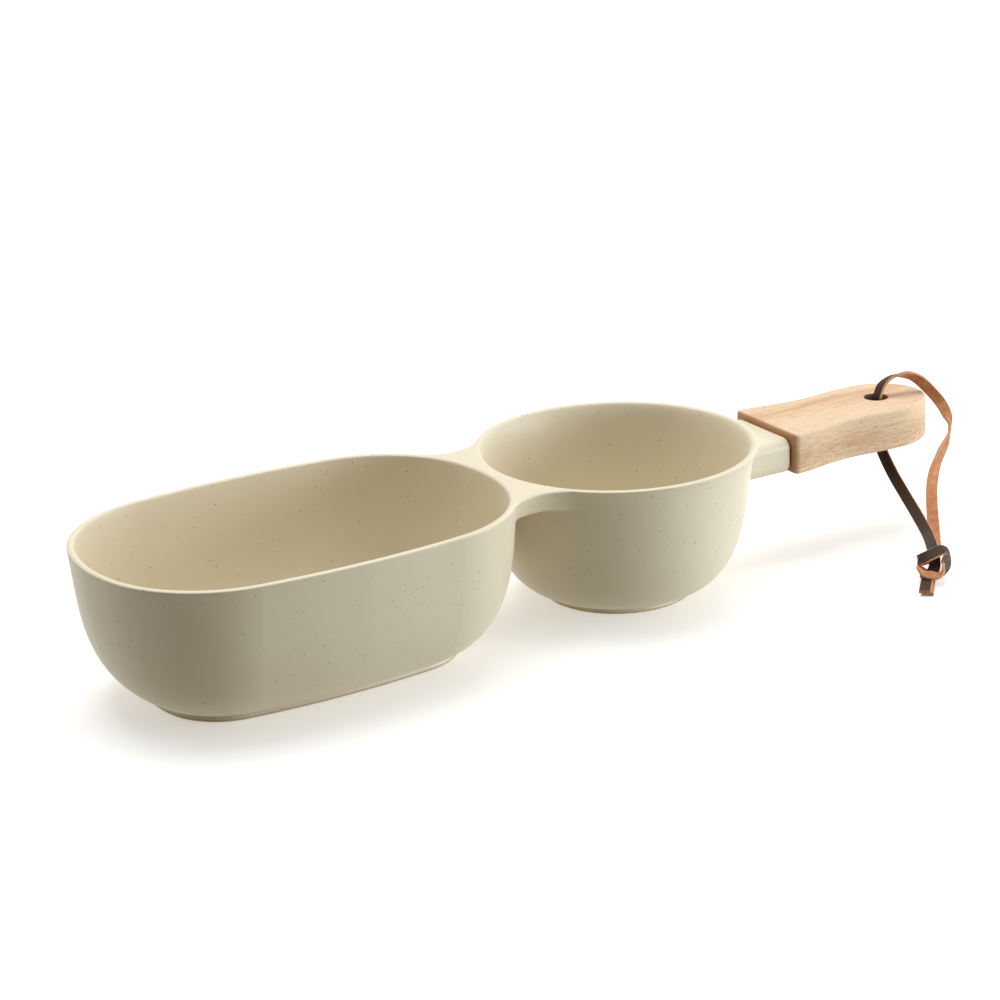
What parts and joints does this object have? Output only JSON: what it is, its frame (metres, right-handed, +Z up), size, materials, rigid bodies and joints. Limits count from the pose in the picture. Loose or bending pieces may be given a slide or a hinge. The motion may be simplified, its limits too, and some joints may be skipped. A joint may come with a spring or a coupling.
{
  "type": "chip and dip server",
  "caption": "Stoneware server with an oblong chip bowl joined to a round dip bowl, a wooden handle and a leather hanging lace.",
  "frame": {"origin": "on the surface the server stands on, under the middle of the server's length and width, the lace left out", "axes": "+X along the server towards the handle, +Y to its back, +Z up"},
  "size_m": [0.4134, 0.1447, 0.0706],
  "materials": {
    "glazed_stoneware": "satin speckled glaze on stoneware",
    "handle_wood": "oiled",
    "handle_adhesive": "cured epoxy, hidden",
    "lace_leather": "suede on one side, smooth dark brown on the other"
  },
  "bodies": {
    "root": {"stoneware_body": "glazed_stoneware", "wooden_handle": "handle_wood", "handle_adhesive": "handle_adhesive", "lace_upper_strand": "lace_leather", "lace_lower_strand": "lace_leather", "lace_knot": "lace_leather", "lace_tails": "lace_leather"}
  },
  "joints": []
}
